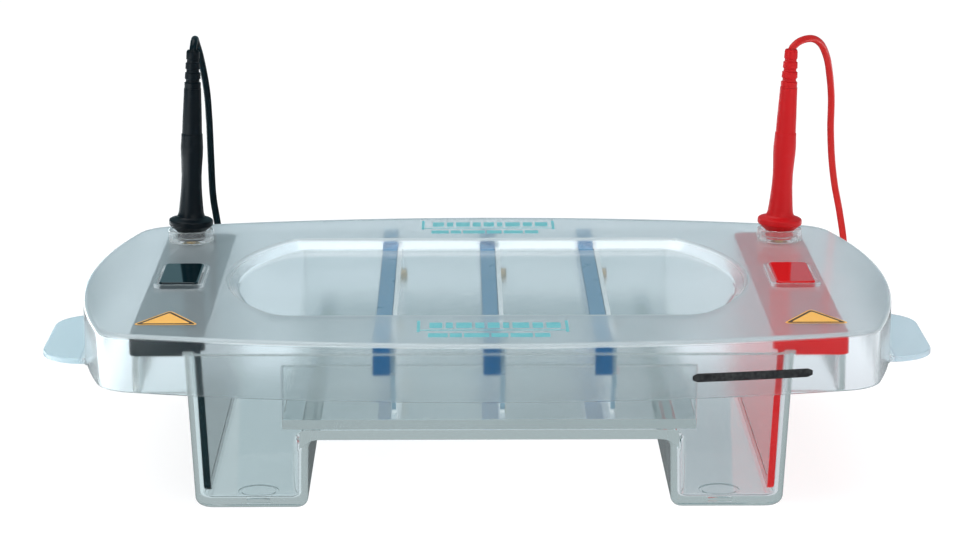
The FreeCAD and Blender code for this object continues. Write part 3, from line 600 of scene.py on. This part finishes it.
def guide(name, line_y):
    """bracket line with end ticks between two rows of short bars"""
    bars = [rounded_bar(x0, x1, line_y + y0, line_y + y1) for x0, x1, y0, y1 in BRACKET]
    for x, gap, y0, y1, widths in BAR_ROWS:
        for width in widths:
            bars.append(rounded_bar(x, x + width, line_y + y0, line_y + y1))
            x += width + gap
    films(name, bars, LID_TOP + 0.01, LID_TOP + 0.06, INK_TEAL)


guide("guide_front", line_y=-98.5)
guide("guide_back", line_y=97.0)

# ---------------------------------------------------------------- label on the lid's skirt
SKIRT_RADIUS = 650.0            # bow of the skirt's front, mm
SKIRT_FRONT = 122.5             # how far forward the bow reaches at x = 0
LABEL_X = (83.5, 134.0)
LABEL_Z = (57.1, 60.8)
LABEL_CORNER = 0.9
LABEL_LIFT = (0.02, 0.10)       # inner and outer face above the skirt
LABEL_STEPS = 24


def blank_label():
    """plain dark strip on the bowed front of the skirt, with nothing on it"""
    x0, x1 = LABEL_X
    z0, z1 = LABEL_Z
    r = LABEL_CORNER
    bm = bmesh.new()
    sections = []
    for i in range(LABEL_STEPS + 1):
        x = x0 + (x1 - x0) * i / LABEL_STEPS
        from_end = min(x - x0, x1 - x, r)
        trim = r - math.sqrt(max(r * r - (r - from_end) ** 2, 0.0))
        section = []
        for lift in LABEL_LIFT:
            bow = math.sqrt((SKIRT_RADIUS + lift) ** 2 - x * x)
            y = -(bow - (SKIRT_RADIUS - SKIRT_FRONT))
            for z in (z0 + trim, z1 - trim):
                section.append(bm.verts.new((x * MM, y * MM, z * MM)))
        sections.append(section)
    for a, b in zip(sections, sections[1:]):
        for j, k in ((0, 1), (1, 3), (3, 2), (2, 0)):
            bm.faces.new((a[j], b[j], b[k], a[k]))
    bm.faces.new([sections[0][k] for k in (0, 1, 3, 2)])
    bm.faces.new([sections[-1][k] for k in (0, 2, 3, 1)])
    bmesh.ops.remove_doubles(bm, verts=bm.verts, dist=1e-7)
    bmesh.ops.recalc_face_normals(bm, faces=bm.faces)
    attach(mesh_object("blank_label", bm, INK_DARK), "lid_unit")


blank_label()

# ---------------------------------------------------------------- studio floor
FLOOR_GLOW = 0.55               # light thrown back up at the object
FLOOR_SEEN_GLOW = 0.83          # brightness as the camera sees it
GLOSS_LEFT, GLOSS_RIGHT = 9.0, 2.5
# floor tones seen through the clear mouldings, each as (left, right)
SWEEP_NEAR = ((0.66, 0.78, 0.81, 1), (0.70, 0.72, 0.76, 1))
SWEEP_FAR = ((1.10, 1.24, 1.33, 1), (1.10, 1.20, 1.27, 1))


def floor_reflected(m, x, y):
    """in reflections: dark in front of the tank, bright soft panels out to the sides"""
    def panel(inward, outward, strength):
        band = m.math("MULTIPLY", m.remap(x, span=inward, smooth=True),
                      m.remap(x, span=outward, to=(1.0, 0.0), smooth=True))
        return m.math("MULTIPLY", band, strength)
    panels = m.math("ADD",
                    panel((-0.62, -0.40), (-0.36, -0.30), GLOSS_LEFT),
                    panel((0.34, 0.42), (0.50, 0.62), GLOSS_RIGHT))
    near = m.remap(y, span=(-0.75, -0.45), smooth=True)
    back = m.remap(y, span=(0.15, 0.6), to=(0.05, 0.32), smooth=True)
    strength = m.math("ADD", m.math("MULTIPLY", near, panels), back)
    return m.shader("Emission", Color=(0.92, 0.98, 1.0, 1), Strength=strength)


def floor_through_plastic(m, x, y):
    """through clear plastic: cool grey tones, dark for rays that travel towards the front"""
    right = m.remap(x, span=(-0.16, 0.16), smooth=True)
    far = m.remap(y, span=(-0.05, 0.33), smooth=True)
    tone = m.mix(far, m.mix(right, *SWEEP_NEAR), m.mix(right, *SWEEP_FAR))
    incoming = m.split(m.node("ShaderNodeNewGeometry").outputs["Incoming"])
    strength = m.remap(incoming[1], span=(-0.25, 0.10), to=(1.0, 0.10), smooth=True)
    return m.shader("Emission", Color=tone, Strength=strength)


def floor_material():
    """a different floor for each kind of ray"""
    m = Material("studio_floor")
    x, y, _ = m.split(m.position())
    colour = m.mix(m.remap(m.noise(scale=6.0), span=(0.3, 0.7)),
                   (0.93, 0.935, 0.94, 1), (0.95, 0.952, 0.955, 1))
    normal = m.bump(m.noise(scale=300.0, detail=2.0), strength=0.05, distance=0.0002)

    def matt(base, glow):
        return m.principled(Base_Color=base, Roughness=0.8, Specular_IOR_Level=0.0,
                            Normal=normal, Emission_Color=(1, 1, 1, 1), Emission_Strength=glow)
    lit = matt(colour, FLOOR_GLOW)
    # a darker base under more glow leaves only a faint contact shadow
    seen = matt(m.mix(1.0, colour, (0.24, 0.245, 0.25, 1)), FLOOR_SEEN_GLOW)
    path = m.light_path()
    shader = m.mix_shader(path["Is Glossy Ray"], lit, floor_reflected(m, x, y))
    shader = m.mix_shader(path["Is Transmission Ray"], shader, floor_through_plastic(m, x, y))
    return m.finish(m.mix_shader(path["Is Camera Ray"], shader, seen))


def floor():
    bm = bmesh.new()
    bmesh.ops.create_grid(bm, x_segments=8, y_segments=8, size=4.0)
    piece = mesh_object("studio_floor", bm, floor_material())
    piece.location = (0, 0, -0.0003)


floor()


# ---------------------------------------------------------------- lights
def aim(thing, direction):
    """turn a light or camera to look along a direction"""
    thing.rotation_euler = direction.to_track_quat("-Z", "Y").to_euler()


def area(name, location, target, size, power, colour=(1, 1, 1)):
    """rectangular lamp; size is (width, height)"""
    light = bpy.data.lights.new(name, "AREA")
    light.energy = power
    light.color = colour
    light.shape = "RECTANGLE"
    light.size, light.size_y = size
    lamp = bpy.data.objects.new(name, light)
    lamp.location = location
    aim(lamp, Vector(target) - Vector(location))
    scene.collection.objects.link(lamp)


area("key_top", location=(-0.35, 0.15, 1.5), target=(0, 0, 0.05), size=(1.3, 1.3), power=11.0)
area("fill_front", location=(0.5, -1.6, 0.9), target=(0, 0, 0.05), size=(1.0, 1.0), power=6.0,
     colour=(1.0, 0.995, 0.99))
for side, sign, power in (("left", -1, 2.6), ("right", 1, 1.2)):
    area("strip_" + side, location=(sign * 0.95, -0.75, 0.35), target=(sign * 0.1, 0, 0.06),
         size=(0.16, 0.9), power=power)


# ---------------------------------------------------------------- world
def studio_world():
    """soft surround, brighter behind than in front, with its own tones for each kind of ray"""
    world = bpy.data.worlds.new("studio")
    scene.world = world
    g = Graph(world)
    depth = g.split(g.coordinate("Generated"))["Y"]

    def tones(span, front, back):
        return g.mix(g.remap(depth, span), front, back)
    diffuse = tones((-0.9, 0.35), front=(0.40, 0.42, 0.43, 1), back=(0.80, 0.82, 0.83, 1))
    glossy = tones((-0.2, 0.9), front=(0.03, 0.045, 0.05, 1), back=(0.17, 0.29, 0.33, 1))
    through = tones((-0.2, 0.6), front=(0.05, 0.07, 0.08, 1), back=(0.07, 0.15, 0.17, 1))
    path = g.light_path()
    colour = g.mix(path["Is Glossy Ray"], diffuse, glossy)
    colour = g.mix(path["Is Transmission Ray"], colour, through)
    colour = g.mix(path["Is Camera Ray"], colour, (1, 1, 1, 1))
    background = g.node("ShaderNodeBackground")
    g.put(background.inputs["Color"], colour)
    g.put(g.node("ShaderNodeOutputWorld").inputs["Surface"], background.outputs[0])


studio_world()

# ---------------------------------------------------------------- camera
CAMERA_PITCH = math.radians(13.4)   # looking down
CAMERA_YAW = math.radians(0.6)      # turned from +Y towards +X
CAMERA_DISTANCE = 1.3857
CAMERA_TARGET = Vector((0.0009, 0.0, 0.0749))


def camera():
    lens = bpy.data.cameras.new("camera")
    lens.sensor_fit = "HORIZONTAL"
    lens.sensor_width = 36.0
    lens.lens = 114.1104294
    lens.clip_start = 0.05
    lens.clip_end = 50.0
    viewer = bpy.data.objects.new("camera", lens)
    forward = Vector((
        math.sin(CAMERA_YAW) * math.cos(CAMERA_PITCH),
        math.cos(CAMERA_YAW) * math.cos(CAMERA_PITCH),
        -math.sin(CAMERA_PITCH),
    ))
    viewer.location = CAMERA_TARGET - forward * CAMERA_DISTANCE
    aim(viewer, forward)
    scene.collection.objects.link(viewer)
    scene.camera = viewer


camera()

# ---------------------------------------------------------------- render settings
scene.view_settings.view_transform = "Standard"
scene.view_settings.look = "None"
scene.cycles.max_bounces = 24
scene.cycles.transmission_bounces = 20
scene.cycles.transparent_max_bounces = 24
scene.cycles.glossy_bounces = 6
scene.cycles.diffuse_bounces = 4
